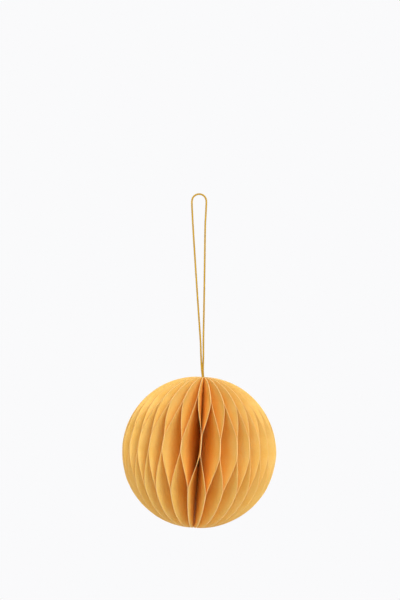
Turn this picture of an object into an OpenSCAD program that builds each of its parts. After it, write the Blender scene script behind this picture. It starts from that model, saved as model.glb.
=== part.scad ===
// Honeycomb paper ball: half-round paper leaves, all cut alike, stand round one axis like an
// opened fan. Each leaf is glued to one neighbour in a stripe across its middle and to the
// other neighbour in a stripe at each pole, so the opened leaves bend to and fro and form
// rows of lens-shaped cells. A cord loop comes out of the hollow core at the top pole.
// +Z is up. The origin is the point inside the top of the loop that rests on a hook, and the
// middle of the ball hangs straight below it.

/* [Paper leaves] */
// How many leaves stand round the axis, an even number
leaf_count = 56; // [40:2:58]
// Height of a leaf from pole to pole, which is its straight spine
leaf_h = 98; // [80:1:130]
// Width of a leaf from its spine to the middle of its rim
leaf_w = 48.5; // [40:0.1:65]
// Thickness of the paper
paper_t = 0.2; // [0.15:0.01:0.4]

/* [Glue stripes] */
// Thickness of the glue film between two leaves
glue_t = 0.02; // [0.01:0.01:0.05]
// Lower end of the top stripe, above the middle of the ball
top_stripe = 35.5; // [24:0.5:38]
// Upper end of the middle stripe, above the middle of the ball
middle_stripe_top = 13.5; // [8:0.5:18]
// Lower end of the middle stripe, above the middle of the ball
middle_stripe_bottom = 2.5; // [-4:0.5:6]
// Upper end of the bottom stripe, below the middle of the ball
bottom_stripe = 20.5; // [12:0.5:34]

/* [Opening] */
// How much further apart the leaves stand at the front than if spread evenly, as a share
spread_share = 0.13; // [0:0.01:0.2]
// How far the ball leans over on its cord, in degrees
lean = 3.6; // [0:0.1:6]

/* [Cord] */
// Thickness of the cord
cord_d = 1.1; // [0.6:0.1:1.1]
// Height of the loop, from the hook to the top pole of the ball
loop_h = 119; // [110:1:120]
// How far below the top pole the knot sits in the core
knot_depth = 10; // [10:0.5:30]
// Length of the knot
knot_h = 4; // [2:0.5:8]
// Room between the knot and the spines around it
knot_gap = 0.25; // [0.1:0.05:0.5]

/* [Hidden] */
// Places round the axis where the leaves stand further apart, the first at the front
SPREAD_LOBES = 4;
FRONT_ANGLE = -90;

// Rows of points up a leaf, in each of its stretches
BOTTOM_ROWS = 8;
BEND_ROWS = 5;
MIDDLE_ROWS = 2;
TOP_ROWS = 5;

// How much of a bend between two stripes eases in and out, and the rest runs straight
EASE_SHARE = 0.2;

CORD_SIDES = 8;
ROUND_SIDES = 48;
// Rounding of the knot's ends, as a share of its radius
KNOT_ROUND_SHARE = 0.7;

PAPER_COLOR = [0.92, 0.66, 0.27];
CORD_COLOR = [0.80, 0.62, 0.33];

half_h = leaf_h / 2;
step_angle = 360 / leaf_count;
widest_half_angle = step_angle / 2 * (1 + spread_share);
core_r = spine_r(widest_half_angle);
knot_r = core_r - knot_gap;
knot_round = knot_r * KNOT_ROUND_SHARE;
// The top pole stands this far to the side, so that the ball's middle is under the hook
pole_x = half_h * sin(lean);

// The cord's route, from the knot in the core up one strand, round the hook and down again
cord_route = [
    [2.45, -0.6, -128.9], [2.5, -0.6, -122], [2.3, -0.6, -119], [1.85, -0.6, -115.5],
    [1.5, -0.55, -111], [1.2, -0.5, -104.5], [0.85, -0.4, -95], [-0.7, -0.3, -72],
    [-2.35, -0.2, -47], [-3.95, -0.1, -21.5], [-4.5, 0, -11], [-4.7, 0, -6.5],
    [-4.7, 0, -4.2], [-4.3, 0, -2.3], [-3.3, 0, -0.8], [-1.8, 0, 0.2], [0, 0, 0.55],
    [1.8, 0, 0.2], [3.3, 0, -0.8], [4.3, 0, -2.3], [4.7, 0, -4.2], [4.6, 0, -8],
    [4.3, 0, -14], [3.95, 0.1, -21.5], [3.6, 0.2, -47], [3.2, 0.3, -72], [2.8, 0.4, -95],
    [2.8, 0.5, -104.5], [2.6, 0.55, -111], [2.55, 0.6, -115.5], [2.75, 0.6, -119],
    [2.65, 0.6, -122], [2.45, 0.6, -128.9],
];

function leaf_name(k) = str("leaf_", k < 9 ? "0" : "", k + 1);

// Leaf spines stand where the paper and its glue just fill the angle between two glue planes
function spine_r(half_angle) = (paper_t + glue_t) / (2 * tan(half_angle));

// Angle of the glue plane between leaf k - 1 and leaf k
function plane_angle(k) =
    let (even = k * step_angle)
    FRONT_ANGLE + even + spread_share / SPREAD_LOBES * sin(SPREAD_LOBES * even) * 180 / PI;

function mix(from, to, share) = from + (to - from) * share;

// Goes from 0 to 1 along a bend
function eased(share) = mix(share, share * share * (3 - 2 * share), EASE_SHARE);

// Where the paper lies between its two glue planes at a height: 1 on the plane of the middle
// stripe, -1 on the plane of the stripes at the poles
function swing(z) =
    z >= top_stripe || z <= -bottom_stripe ? -1
    : z >= middle_stripe_top
        ? mix(1, -1, eased((z - middle_stripe_top) / (top_stripe - middle_stripe_top)))
    : z >= middle_stripe_bottom ? 1
    : mix(-1, 1, eased((z + bottom_stripe) / (middle_stripe_bottom + bottom_stripe)));

// Angles up the half-round rim at which a leaf has a row of points, without the two tips
function rim_angle(z) = asin(z / half_h);
row_angles = concat(
    [for (i = [1 : BOTTOM_ROWS]) mix(-90, rim_angle(-bottom_stripe), i / BOTTOM_ROWS)],
    [for (i = [1 : BEND_ROWS])
        rim_angle(mix(-bottom_stripe, middle_stripe_bottom, i / BEND_ROWS))],
    [for (i = [1 : MIDDLE_ROWS])
        rim_angle(mix(middle_stripe_bottom, middle_stripe_top, i / MIDDLE_ROWS))],
    [for (i = [1 : BEND_ROWS]) rim_angle(mix(middle_stripe_top, top_stripe, i / BEND_ROWS))],
    [for (i = [1 : TOP_ROWS - 1]) mix(rim_angle(top_stripe), 90, i / TOP_ROWS)]
);

// Places what belongs to the ball, drawn with the top pole at the origin and its axis along Z
module hung() {
    translate([pole_x, 0, -loop_h])
        rotate([0, lean, 0])
            children();
}

// One bent sheet, with its spine at x = spine and its rim outward, in rows of four corners:
// spine and rim on the one face, then spine and rim on the other. Each tip is a short edge.
module bent_leaf(half_angle, side) {
    spine = spine_r(half_angle);
    half_t = paper_t / 2;
    rows = len(row_angles);
    corners = [
        for (angle = row_angles)
            let (
                z = half_h * sin(angle),
                out = leaf_w * cos(angle),
                across = side * swing(z) * tan(half_angle) * out
            )
            each [
                [spine, half_t, z], [spine + out, across + half_t, z],
                [spine, -half_t, z], [spine + out, across - half_t, z],
            ]
    ];
    tips = [for (z = [-half_h, half_h]) each [[spine, half_t, z], [spine, -half_t, z]]];
    low_tip = 4 * rows;
    high_tip = low_tip + 2;
    last = 4 * (rows - 1);
    // Both faces are split along the same diagonal, so the sheet is equally thick all over
    walls = [
        for (row = [0 : rows - 2])
            let (a = 4 * row, b = a + 4)
            each [
                [a, a + 1, b + 1], [a, b + 1, b],
                [a + 2, b + 3, a + 3], [a + 2, b + 2, b + 3],
                [a + 1, a + 3, b + 3], [a + 1, b + 3, b + 1],
                [a + 2, a, b], [a + 2, b, b + 2],
            ]
    ];
    low_end = [
        [low_tip, 1, 0], [low_tip, low_tip + 1, 3], [low_tip, 3, 1],
        [low_tip + 1, 2, 3], [low_tip, 0, 2], [low_tip, 2, low_tip + 1],
    ];
    high_end = [
        [high_tip, last, last + 1], [high_tip, last + 1, last + 3],
        [high_tip, last + 3, high_tip + 1], [high_tip + 1, last + 3, last + 2],
        [high_tip, last + 2, last], [high_tip, high_tip + 1, last + 2],
    ];
    polyhedron(concat(corners, tips), concat(walls, low_end, high_end), convexity = 4);
}

// The leaf between glue planes k and k + 1. Even planes hold the middle stripe, odd planes the
// stripes at the poles.
module leaf(k) {
    from = plane_angle(k);
    to = plane_angle(k + 1);
    color(PAPER_COLOR)
        hung()
            translate([0, 0, -half_h])
                rotate([0, 0, (from + to) / 2])
                    bent_leaf((to - from) / 2, k % 2 == 0 ? -1 : 1);
}

// Direction of the cord at a point of its route, and the ring of corners round it
function unit(v) = v / norm(v);
function heading(i) =
    unit(cord_route[min(i + 1, len(cord_route) - 1)] - cord_route[max(i - 1, 0)]);
function cord_ring(i) =
    let (
        ahead = heading(i),
        side = unit(cross(ahead, [0, 1, 0])),
        up = cross(side, ahead)
    )
    [for (j = [0 : CORD_SIDES - 1])
        let (turn = 360 * j / CORD_SIDES)
        cord_route[i] + cord_d / 2 * (cos(turn) * side + sin(turn) * up)];

module hanging_cord() {
    count = len(cord_route);
    corners = [for (i = [0 : count - 1]) each cord_ring(i)];
    walls = [
        for (i = [0 : count - 2], j = [0 : CORD_SIDES - 1])
            let (
                a = i * CORD_SIDES + j,
                b = i * CORD_SIDES + (j + 1) % CORD_SIDES
            )
            each [[a, b, b + CORD_SIDES], [a, b + CORD_SIDES, a + CORD_SIDES]]
    ];
    near_end = [for (j = [CORD_SIDES - 1 : -1 : 0]) j];
    far_end = [for (j = [0 : CORD_SIDES - 1]) (count - 1) * CORD_SIDES + j];
    color(CORD_COLOR)
        polyhedron(corners, concat(walls, [near_end], [far_end]), convexity = 4);
}

// The two ends of the cord are tied together and glued in the core
module cord_knot() {
    color(CORD_COLOR)
        hung()
            translate([0, 0, -knot_depth - glue_t - knot_h])
                rotate_extrude($fn = ROUND_SIDES) {
                    square([knot_r - knot_round, knot_h]);
                    translate([0, knot_round])
                        square([knot_r, knot_h - 2 * knot_round]);
                    for (z = [knot_round, knot_h - knot_round])
                        translate([knot_r - knot_round, z])
                            intersection() {
                                circle(r = knot_round, $fn = ROUND_SIDES);
                                translate([0, -knot_round])
                                    square([knot_round, 2 * knot_round]);
                            }
                }
}

for (k = [0 : leaf_count - 1])
    leaf(k);
hanging_cord();
cord_knot();
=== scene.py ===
"""Looks of the honeycomb paper ball: bent paper leaves, a twisted cord, its knot, light and camera."""

import math

import bmesh
import bpy
import numpy as np
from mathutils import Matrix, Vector


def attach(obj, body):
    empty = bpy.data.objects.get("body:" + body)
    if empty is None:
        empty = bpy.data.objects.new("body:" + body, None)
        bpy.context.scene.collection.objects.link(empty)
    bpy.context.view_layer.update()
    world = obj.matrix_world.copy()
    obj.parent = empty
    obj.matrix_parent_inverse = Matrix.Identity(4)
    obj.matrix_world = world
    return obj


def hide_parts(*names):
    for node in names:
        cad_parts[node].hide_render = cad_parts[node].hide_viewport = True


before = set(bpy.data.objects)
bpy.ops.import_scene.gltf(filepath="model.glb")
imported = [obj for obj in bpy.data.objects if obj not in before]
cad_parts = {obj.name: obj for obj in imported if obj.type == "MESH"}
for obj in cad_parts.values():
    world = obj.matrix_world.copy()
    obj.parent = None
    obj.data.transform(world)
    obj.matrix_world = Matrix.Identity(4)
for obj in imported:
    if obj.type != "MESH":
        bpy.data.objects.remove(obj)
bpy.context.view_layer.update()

MM = 0.001
BODY = "root"
SEED = 7

# Sizes of the paper ball, in metres, as in the part
LEAF_NODES = sorted(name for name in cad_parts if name.startswith("leaf_"))
LEAF_COUNT = len(LEAF_NODES)
HALF_H = 49 * MM
LEAF_W = 48.5 * MM
PAPER_T = 0.2 * MM
GLUE_T = 0.02 * MM
TOP_STRIPE = 35.5 * MM
MIDDLE_STRIPE_TOP = 13.5 * MM
MIDDLE_STRIPE_BOTTOM = 2.5 * MM
BOTTOM_STRIPE = -20.5 * MM
SPREAD_SHARE = 0.13
SPREAD_LOBES = 4
FRONT_ANGLE = math.radians(-90)
LEAN = math.radians(3.6)
EASE_SHARE = 0.2
LOOP_H = 119 * MM
BALL_MIDDLE = Vector((0, 0, -LOOP_H - HALF_H * math.cos(LEAN)))

# A leaf's mesh has this many quads from tip to tip and from spine to rim
ROWS = 96
COLUMNS = 10
# Points closer than this become one, which only those in the tips are
TIP_MERGE = 0.002 * MM
# Faces that meet at more than this angle have a sharp edge between them
SHARP_ANGLE = math.radians(50)

# How this ball was opened. Its upper pole is turned against the lower one, and the lower end of its
# axis is bent to the left.
TWIST = math.radians(1.2)
AXIS_BEND = 0.5 * MM
# How much higher than in the part the stripes' ends lie, in mm, on glue planes counted from the front.
# Up to LIFTED_PLANES from there, a plane that isn't listed has 0. Further round, chance decides.
TOP_END_LIFT_MM = {-1: 3.2, 1: 0.2, 3: -0.6, 5: -1}
MIDDLE_TOP_LIFT_MM = {-2: -1.9, 0: 1.4, 2: -0.4}
MIDDLE_BOTTOM_LIFT_MM = {-4: 1.4, -2: 1.7, 0: 0.5, 2: -1.7, 4: -2.6}
BOTTOM_END_LIFT_MM = {-5: -0.7, -3: -0.2, -1: 1.7, 1: -2.2, 3: 0.4, 5: -1}
LIFTED_PLANES = 6
LIFT_SPREAD_MM = 0.8
# How far the glue planes are turned from their places in the part, in degrees, given in the same way
PLANE_TURN_DEG = {-4: -0.4, -3: 0.4, -2: 0.5, -1: 0.7, 0: 0.6, 1: 0.6, 2: 0.4, 4: 0.3, 5: -0.4,
                  6: -0.9, 7: -1.2, 8: -1.5, 9: -2, 10: -2.4, 11: -2.2, 12: -1.8, 13: -1.2, 14: -0.6}
TURNED_PLANES = 14
TURN_SPREAD_DEG = 0.35
# Chance lifts and turns go no further than this many times their spread
SPREAD_LIMIT = 2
# Unevenness of the cut rims, and of the paper where it hangs free between two stripes, made of waves
# that run this many times along a leaf
RIM_RIPPLE = 0.12 * MM
BEND_BULGE = 0.25 * MM
RIPPLE_WAVES = (1.3, 2.6, 4.7, 8.9)

# The cord and its route in mm, from the knot in the core round the loop and back
CORD_D = 1.1 * MM
CORD_ROUTE_MM = (
    (2.45, -0.6, -128.9), (2.5, -0.6, -122), (2.3, -0.6, -119), (1.85, -0.6, -115.5),
    (1.5, -0.55, -111), (1.2, -0.5, -104.5), (0.85, -0.4, -95), (-0.7, -0.3, -72),
    (-2.35, -0.2, -47), (-3.95, -0.1, -21.5), (-4.5, 0, -11), (-4.7, 0, -6.5),
    (-4.7, 0, -4.2), (-4.3, 0, -2.3), (-3.3, 0, -0.8), (-1.8, 0, 0.2), (0, 0, 0.55),
    (1.8, 0, 0.2), (3.3, 0, -0.8), (4.3, 0, -2.3), (4.7, 0, -4.2), (4.6, 0, -8),
    (4.3, 0, -14), (3.95, 0.1, -21.5), (3.6, 0.2, -47), (3.2, 0.3, -72), (2.8, 0.4, -95),
    (2.8, 0.5, -104.5), (2.6, 0.55, -111), (2.55, 0.6, -115.5), (2.75, 0.6, -119),
    (2.65, 0.6, -122), (2.45, 0.6, -128.9),
)
# The grooves between its plies, as a share of its radius, and the length in which the plies turn once
PLIES = 3
PLY_DEPTH_SHARE = 0.24
PLY_TURN_LENGTH = 3.6 * MM
CORD_SIDES = 24
CORD_STEP = 0.2 * MM

# The knot, a few tight turns of the cord in the core, with its top this far below the pole
KNOT_TOP = 10 * MM + GLUE_T
KNOT_H = 4 * MM
KNOT_R = 1.48 * MM
KNOT_TURNS = 2.6
KNOT_STEPS = 120

# Finishes: the colour and how far the dye varies from it, the sizes of the fibres and of the clouds in
# the dye, the gloss, and the relief of the fibres
PAPER_FINISH = dict(
    color=(0.956, 0.654, 0.168), dye_spread=0.18, fibre=0.5 * MM, cloud=9 * MM,
    roughness=0.6, specular=0.6, relief=0.1 * MM,
)
EDGE_FINISH = dict(
    color=(0.99, 0.65, 0.27), dye_spread=0.1, fibre=0.25 * MM, cloud=5 * MM,
    roughness=0.7, specular=0.4, relief=0.03 * MM,
)
CORD_FINISH = dict(
    color=(0.595, 0.35, 0.035), dye_spread=0.15, fibre=0.3 * MM, cloud=4 * MM,
    roughness=0.8, specular=0.04, relief=0.05 * MM,
)
# The noises of the fibres and the clouds, and the clouds' share where both tint the dye
FIBRE_DETAIL = 4
FIBRE_DISTORTION = 1.5
CLOUD_DETAIL = 2
CLOUD_DISTORTION = 0
CLOUD_SHARE = 0.35
# Where in the noise the dye is palest and deepest, and how far the roughness varies
PALEST_AT = 0.35
DEEPEST_AT = 0.65
ROUGHNESS_SPREAD = 0.12

# The camera that fits the photograph, with its focal length in the photograph's pixels
PHOTO_H_PX = 600
FOCAL_PX = 1606.9
SENSOR_MM = 36
CAMERA_DISTANCE = 1050 * MM
CAMERA_SIDE = 0.56 * MM
CAMERA_ABOVE_MIDDLE = 99.25 * MM

# The white that the camera and reflections see behind the ball, and the even light from all around it
WHITE = (0.956, 0.956, 0.966, 1)
WORLD_COLOR = (1, 1, 1, 1)
WORLD_LIGHT = 0.25
# Square lamps that face the ball: degrees to the right of the camera, degrees upward, and watts
LAMPS = {
    "key": (25, 30, 17),
    "fill": (-25, 30, 5.9),
    "top": (0, 60, 5.6),
    "back_left": (-130, 20, 11.5),
    "back_right": (130, 20, 5.3),
    "back": (180, 20, 7),
}
LAMP_DISTANCE = 1.8
LAMP_SIZE = 0.9
# Light goes on from leaf to leaf up to this many times, deep into the cells
DIFFUSE_BOUNCES = 12

# The floor. Up to SHADED_TO from the place below the ball it shows the white by WHITE_SHARE_NEAR and
# its own shading by the rest, and from WHITE_FROM on only the white.
FLOOR_PAINT = (0.85, 0.85, 0.85, 1)
FLOOR_ROUGHNESS = 0.9
FLOOR_BELOW_MIDDLE = 0.35
FLOOR_SIZE = 60
SHADED_TO = 0.5
WHITE_FROM = 1.25
WHITE_SHARE_NEAR = 0.6


def add_object(name, data):
    made = bpy.data.objects.new(name, data)
    bpy.context.scene.collection.objects.link(made)
    return made


def new_piece(name, points, faces, materials, material_of=None):
    """A smooth piece. material_of says for each face which of the materials it has, if not the first."""
    mesh = bpy.data.meshes.new(name)
    mesh.from_pydata(points.tolist(), [], faces)
    for material in materials:
        mesh.materials.append(material)
    if material_of is not None:
        mesh.polygons.foreach_set("material_index", material_of)
    mesh.shade_smooth()
    mesh.set_sharp_from_angle(angle=SHARP_ANGLE)
    piece = add_object(name, mesh)
    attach(piece, BODY)
    return piece


# Paper leaves


def mix(a, b, share):
    return a + (b - a) * share


def eased(share):
    return mix(share, share * share * (3 - 2 * share), EASE_SHARE)


def uneven(random, spread, given, reach):
    """Values for the glue planes: given ones, or 0, up to reach from the front, then chance ones."""
    limit = SPREAD_LIMIT * spread
    values = random.normal(0, spread, LEAF_COUNT).clip(-limit, limit)
    for k in range(-reach, reach + 1):
        values[k] = given.get(k, 0)
    return values


def stripe_ends(random):
    """Heights of the stripes' ends on the glue planes: top, middle top, middle bottom and bottom."""
    ends = (
        (TOP_STRIPE, TOP_END_LIFT_MM),
        (MIDDLE_STRIPE_TOP, MIDDLE_TOP_LIFT_MM),
        (MIDDLE_STRIPE_BOTTOM, MIDDLE_BOTTOM_LIFT_MM),
        (BOTTOM_STRIPE, BOTTOM_END_LIFT_MM),
    )
    return [end + uneven(random, LIFT_SPREAD_MM, lifts, LIFTED_PLANES) * MM for end, lifts in ends]


def plane_angles(random):
    """Angles of the glue planes round the axis, and at the end the first one again."""
    turns = np.radians(uneven(random, TURN_SPREAD_DEG, PLANE_TURN_DEG, TURNED_PLANES))
    even = 2 * math.pi * np.arange(LEAF_COUNT) / LEAF_COUNT
    spread = SPREAD_SHARE / SPREAD_LOBES * np.sin(SPREAD_LOBES * even)
    angles = FRONT_ANGLE + even + spread + turns
    return np.append(angles, angles[0] + 2 * math.pi)


def swing(z, top, middle_top, middle_bottom, bottom):
    """1 where the paper lies on the plane of the middle stripe, -1 on that of the poles' stripes."""
    rise = ((z - bottom) / (middle_bottom - bottom)).clip(0, 1)
    fall = ((z - middle_top) / (top - middle_top)).clip(0, 1)
    return -1 + 2 * eased(rise) - 2 * eased(fall)


def ripple(random, along):
    """A smooth uneven curve along a leaf, between -1 and 1."""
    curve = np.zeros_like(along)
    for waves in RIPPLE_WAVES:
        curve += np.sin(2 * math.pi * (waves * along + random.uniform())) / math.sqrt(waves)
    return curve / np.abs(curve).max()


def leaf_points(k, angles, ends, random):
    """Both faces of leaf k, as an array of face, row, column and coordinate, from the ball's middle."""
    half_angle = (angles[k + 1] - angles[k]) / 2
    spine = (PAPER_T + GLUE_T) / (2 * math.tan(half_angle))
    # Even planes hold the middle stripe, odd planes the stripes at the poles
    planes = (k, (k + 1) % LEAF_COUNT)
    middle, polar = planes if k % 2 == 0 else planes[::-1]
    side = -1 if k % 2 == 0 else 1
    top, middle_top, middle_bottom, bottom = ends

    along = np.linspace(0, 1, ROWS + 1)
    share = np.linspace(0, 1, COLUMNS + 1)
    rim = math.pi * (along - 0.5)
    z = HALF_H * np.sin(rim)
    out = (LEAF_W + RIM_RIPPLE * ripple(random, along)) * np.cos(rim)
    lie = swing(z, top[polar], middle_top[middle], middle_bottom[middle], bottom[polar])
    bulge = BEND_BULGE * ripple(random, along) * (1 - lie ** 2)

    x = spine + np.outer(out, share)
    bent = side * math.tan(half_angle) * np.outer(lie * out, share)
    y = bent + np.outer(bulge, np.sin(math.pi * share))
    height = np.repeat(z[:, None], COLUMNS + 1, axis=1)
    turn = (angles[k] + angles[k + 1]) / 2 + TWIST * height / HALF_H

    def face(lift):
        shifted = y + lift
        return np.stack((
            x * np.cos(turn) - shifted * np.sin(turn),
            x * np.sin(turn) + shifted * np.cos(turn),
            height,
        ), axis=-1)

    return np.stack((face(PAPER_T / 2), face(-PAPER_T / 2)))


def hung(points):
    """Points of the upright ball, from its middle, to where the ball hangs."""
    x, y, z = points[..., 0], points[..., 1], points[..., 2]
    x = x - AXIS_BEND * np.square(np.minimum(z, 0) / HALF_H)
    c, s = math.cos(LEAN), math.sin(LEAN)
    return np.stack((c * x + s * z, y, c * z - s * x), axis=-1) + np.array(BALL_MIDDLE)


def leaf_faces():
    """Quads of a closed leaf over its grid of points, and for each of them 1 if it is a cut edge."""
    def quad(row, *lines):
        """The quad from a row to the next, between two lines of points given by face and column."""
        a, b = ((face * (ROWS + 1) + row) * (COLUMNS + 1) + column for face, column in lines)
        return [a, b, b + COLUMNS + 1, a + COLUMNS + 1]

    faces, cut = [], []
    for row in range(ROWS):
        for column in range(COLUMNS):
            front = quad(row, (0, column), (0, column + 1))
            a, b, c, d = quad(row, (1, column), (1, column + 1))
            # The back is turned over, and starts where the front does, so both split the same way
            faces += [front, [a, d, c, b]]
            cut += [0, 0]
        rim = quad(row, (0, COLUMNS), (1, COLUMNS))
        spine = quad(row, (1, 0), (0, 0))
        faces += [rim, spine]
        cut += [1, 1]
    return faces, cut


def close_tips(mesh):
    """Merges the points that meet in a leaf's two tips."""
    work = bmesh.new()
    work.from_mesh(mesh)
    bmesh.ops.remove_doubles(work, verts=work.verts, dist=TIP_MERGE)
    work.to_mesh(mesh)
    work.free()


def add_leaves(paper, paper_edge):
    random = np.random.default_rng(SEED)
    ends = stripe_ends(random)
    angles = plane_angles(random)
    faces, cut = leaf_faces()
    for k, node in enumerate(LEAF_NODES):
        points = hung(leaf_points(k, angles, ends, random)).reshape(-1, 3)
        leaf = new_piece("paper_" + node, points, faces, (paper, paper_edge), cut)
        close_tips(leaf.data)
        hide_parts(node)


# Cord and knot


def smooth_route(points, step):
    """A Catmull-Rom curve through the points, with a point about every step."""
    p = np.array(points, float)
    p = np.vstack((2 * p[0] - p[1], p, 2 * p[-1] - p[-2]))
    curve = []
    for a, b, c, d in zip(p, p[1:], p[2:], p[3:]):
        count = max(2, round(float(np.linalg.norm(c - b)) / step))
        for i in range(count):
            t = i / count
            bend = (2 * a - 5 * b + 4 * c - d) * t ** 2 + (3 * b - a - 3 * c + d) * t ** 3
            curve.append((2 * b + (c - a) * t + bend) / 2)
    curve.append(p[-2])
    return np.array(curve)


def twisted_tube(path, across):
    """Points and faces of a tube of twisted plies along a path that never runs along across."""
    ahead = np.gradient(path, axis=0)
    ahead /= np.linalg.norm(ahead, axis=1)[:, None]
    travelled = np.concatenate(([0], np.cumsum(np.linalg.norm(np.diff(path, axis=0), axis=1))))
    side = np.cross(ahead, across)
    side /= np.linalg.norm(side, axis=1)[:, None]
    up = np.cross(side, ahead)
    turn = np.linspace(0, 2 * math.pi, CORD_SIDES, endpoint=False)
    twist = 2 * math.pi * travelled / PLY_TURN_LENGTH
    ply = np.abs(np.cos(PLIES / 2 * (turn[None, :] - twist[:, None])))
    radius = CORD_D / 2 * (1 + PLY_DEPTH_SHARE * (ply - ply.mean()))
    points = (path[:, None, :]
              + (radius * np.cos(turn))[:, :, None] * side[:, None, :]
              + (radius * np.sin(turn))[:, :, None] * up[:, None, :])
    faces = []
    last = (len(path) - 1) * CORD_SIDES
    for start in range(0, last, CORD_SIDES):
        for j in range(CORD_SIDES):
            a, b = start + j, start + (j + 1) % CORD_SIDES
            faces.append([a, b, b + CORD_SIDES, a + CORD_SIDES])
    faces.append(list(range(CORD_SIDES - 1, -1, -1)))
    faces.append(list(range(last, last + CORD_SIDES)))
    return points.reshape(-1, 3), faces


def add_knot(thread):
    inset = CORD_D / 2
    winding_r = KNOT_R - inset
    turn = np.linspace(0, 2 * math.pi * KNOT_TURNS, KNOT_STEPS)
    depth = np.linspace(KNOT_TOP + inset, KNOT_TOP + KNOT_H - inset, KNOT_STEPS)
    wound = np.stack((winding_r * np.cos(turn), winding_r * np.sin(turn), HALF_H - depth), axis=-1)
    points, faces = twisted_tube(hung(wound), across=(0, 0, 1))
    knot = new_piece("wound_knot", points, faces, (thread,))
    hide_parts("cord_knot")
    return knot


def add_cord(thread, knot):
    path = smooth_route(np.array(CORD_ROUTE_MM) * MM, CORD_STEP)
    points, faces = twisted_tube(path, across=(0, 1, 0))
    cord = new_piece("twisted_cord", points, faces, (thread,))
    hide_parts("hanging_cord")


# Materials


def set_inputs(tree, node, inputs):
    """Sets a node's inputs, by name or place: an output of another node is linked, a value is set."""
    for key, value in inputs.items():
        if isinstance(value, bpy.types.NodeSocket):
            tree.links.new(value, node.inputs[key])
        else:
            node.inputs[key].default_value = value


def add_node(tree, kind, inputs=None, **settings):
    """A new node. Its settings come first, because they decide which inputs it has."""
    node = tree.nodes.new("ShaderNode" + kind)
    for setting, value in settings.items():
        setattr(node, setting, value)
    set_inputs(tree, node, inputs or {})
    return node


def noise(tree, place, grain, detail, distortion):
    """A noise with grains of about this size, in metres."""
    inputs = {"Vector": place, "Scale": 1 / grain, "Detail": detail, "Distortion": distortion}
    return add_node(tree, "TexNoise", inputs).outputs["Fac"]


def fibre_material(name, color, dye_spread, fibre, cloud, roughness, specular, relief):
    """A dyed fibrous surface: fine fibres of one grain over soft clouds of another, in metres."""
    material = bpy.data.materials.new(name)
    material.use_nodes = True
    tree = material.node_tree
    place = add_node(tree, "TexCoord").outputs["Object"]
    fibres = noise(tree, place, fibre, FIBRE_DETAIL, FIBRE_DISTORTION)
    clouds = noise(tree, place, cloud, CLOUD_DETAIL, CLOUD_DISTORTION)

    both = add_node(tree, "Mix", {"Factor": CLOUD_SHARE, "A": fibres, "B": clouds})
    dye = add_node(tree, "MapRange", {
        "Value": both.outputs["Result"], "From Min": PALEST_AT, "From Max": DEEPEST_AT,
    })
    pale, deep = ((*(c ** power for c in color), 1) for power in (1 - dye_spread, 1 + dye_spread))
    tone = add_node(tree, "Mix", {
        "Factor": dye.outputs["Result"], "A": pale, "B": deep,
    }, data_type="RGBA")
    rough = add_node(tree, "MapRange", {
        "Value": fibres, "To Min": roughness - ROUGHNESS_SPREAD, "To Max": roughness + ROUGHNESS_SPREAD,
    })
    bump = add_node(tree, "Bump", {"Height": fibres, "Distance": relief})
    set_inputs(tree, tree.nodes["Principled BSDF"], {
        "Base Color": tone.outputs["Result"],
        "Roughness": rough.outputs["Result"],
        "Specular IOR Level": specular,
        "Normal": bump.outputs["Normal"],
    })
    return material


# Stage, light and camera


def seen_directly(tree):
    """1 for rays from the camera and for those that a gloss or a clear body sends on, otherwise 0."""
    path = add_node(tree, "LightPath")
    seen = path.outputs["Is Camera Ray"]
    for kind in ("Is Glossy Ray", "Is Transmission Ray"):
        either = add_node(tree, "Math", {0: seen, 1: path.outputs[kind]}, operation="MAXIMUM")
        seen = either.outputs[0]
    return seen


def add_world():
    world = bpy.data.worlds.new("studio")
    world.use_nodes = True
    tree = world.node_tree
    light = tree.nodes["Background"]
    set_inputs(tree, light, {"Color": WORLD_COLOR, "Strength": WORLD_LIGHT})
    white = add_node(tree, "Background", {"Color": WHITE})
    shown = add_node(tree, "MixShader", {
        "Fac": seen_directly(tree), 1: light.outputs[0], 2: white.outputs[0],
    })
    set_inputs(tree, tree.nodes["World Output"], {"Surface": shown.outputs[0]})
    bpy.context.scene.world = world


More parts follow.
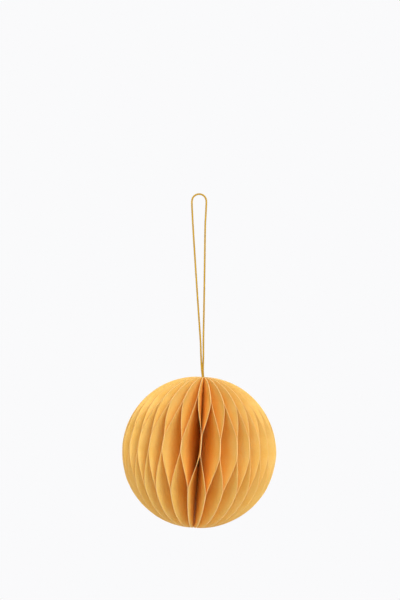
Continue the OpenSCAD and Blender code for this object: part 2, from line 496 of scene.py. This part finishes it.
def floor_material():
    """Pale paint that shows white far from the ball, and is clear from below."""
    material = bpy.data.materials.new("floor_paint")
    material.use_nodes = True
    tree = material.node_tree
    paint = tree.nodes["Principled BSDF"]
    set_inputs(tree, paint, {"Base Color": FLOOR_PAINT, "Roughness": FLOOR_ROUGHNESS})
    white = add_node(tree, "Emission", {"Color": WHITE})
    clear = add_node(tree, "BsdfTransparent")

    place = add_node(tree, "TexCoord").outputs["Object"]
    distance = add_node(tree, "VectorMath", {0: place}, operation="LENGTH")
    share = add_node(tree, "MapRange", {
        "Value": distance.outputs["Value"],
        "From Min": SHADED_TO,
        "From Max": WHITE_FROM,
        "To Min": WHITE_SHARE_NEAR,
    }, interpolation_type="SMOOTHSTEP")
    shown = add_node(tree, "Math", {
        0: share.outputs["Result"], 1: seen_directly(tree),
    }, operation="MULTIPLY")
    top = add_node(tree, "MixShader", {
        "Fac": shown.outputs[0], 1: paint.outputs[0], 2: white.outputs[0],
    })
    below = add_node(tree, "NewGeometry").outputs["Backfacing"]
    both = add_node(tree, "MixShader", {"Fac": below, 1: top.outputs[0], 2: clear.outputs[0]})
    set_inputs(tree, tree.nodes["Material Output"], {"Surface": both.outputs[0]})
    return material


def add_floor():
    half = FLOOR_SIZE / 2
    corners = [(-half, -half, 0), (half, -half, 0), (half, half, 0), (-half, half, 0)]
    mesh = bpy.data.meshes.new("floor")
    mesh.from_pydata(corners, [], [[0, 1, 2, 3]])
    mesh.materials.append(floor_material())
    floor = add_object("floor", mesh)
    floor.location = BALL_MIDDLE - Vector((0, 0, FLOOR_BELOW_MIDDLE))


def add_lamp(name, turn_deg, height_deg, power):
    """A square lamp that faces the ball and that the camera doesn't see."""
    turn, height = math.radians(turn_deg), math.radians(height_deg)
    level = math.cos(height)
    way = Vector((math.sin(turn) * level, -math.cos(turn) * level, math.sin(height)))
    data = bpy.data.lights.new(name, "AREA")
    data.size = LAMP_SIZE
    data.energy = power
    lamp = add_object(name, data)
    lamp.location = BALL_MIDDLE + LAMP_DISTANCE * way
    lamp.rotation_euler = (-way).to_track_quat("-Z", "Y").to_euler()
    lamp.visible_camera = False


def add_camera():
    """A level camera in front of the ball, above its middle."""
    data = bpy.data.cameras.new("camera")
    data.sensor_fit = "VERTICAL"
    data.sensor_height = SENSOR_MM
    data.lens = FOCAL_PX * SENSOR_MM / PHOTO_H_PX
    camera = add_object("camera", data)
    camera.location = BALL_MIDDLE + Vector((CAMERA_SIDE, -CAMERA_DISTANCE, CAMERA_ABOVE_MIDDLE))
    camera.rotation_euler = (math.radians(90), 0, 0)
    bpy.context.scene.camera = camera


paper = fibre_material("leaf_paper", **PAPER_FINISH)
paper_edge = fibre_material("leaf_edge", **EDGE_FINISH)
cord_thread = fibre_material("cord_thread", **CORD_FINISH)
add_leaves(paper, paper_edge)
add_cord(cord_thread, add_knot(cord_thread))

add_world()
add_floor()
for name, (turn_deg, height_deg, power) in LAMPS.items():
    add_lamp(name, turn_deg, height_deg, power)
add_camera()
bpy.context.scene.view_settings.view_transform = "Standard"
bpy.context.scene.cycles.diffuse_bounces = DIFFUSE_BOUNCES
